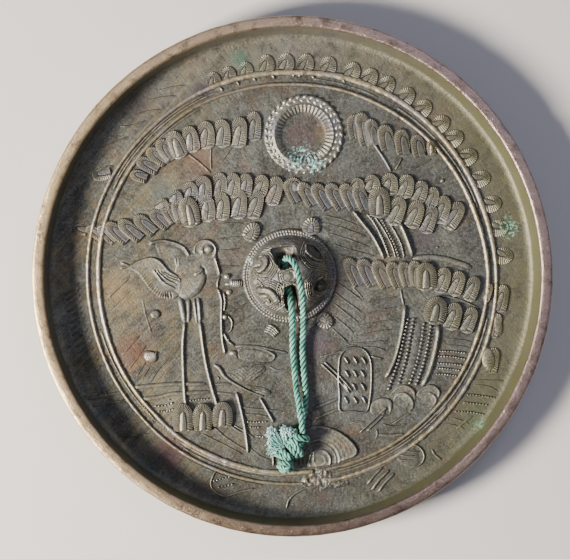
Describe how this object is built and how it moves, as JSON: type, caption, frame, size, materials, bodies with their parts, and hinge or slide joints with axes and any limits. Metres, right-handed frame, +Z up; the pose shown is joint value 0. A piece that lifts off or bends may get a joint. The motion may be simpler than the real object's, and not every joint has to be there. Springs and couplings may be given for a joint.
{
  "type": "ancient bronze mirror",
  "caption": "Round cast bronze mirror with a tall rim, a pierced tortoise knob, crane and pine relief and a knotted green silk cord.",
  "frame": {"origin": "middle of the underside, the polished face that the mirror rests on", "axes": "+Z up out of the decorated back, +Y from the cord's knot towards the sun, +X from the crane towards the pine trunks"},
  "size_m": [0.11, 0.11, 0.0097],
  "materials": {
    "bronze": "cast high-tin bronze, worn olive-brown patina with reddish and grey-violet patches, green spots and a beige to pink rim",
    "silk": "twisted silk cord, dyed grey-green",
    "silk_frayed": "knotted cord with frayed pale ends"
  },
  "bodies": {
    "root": {"mirror": "bronze", "cord": "silk", "cord_knot": "silk_frayed"}
  },
  "joints": []
}
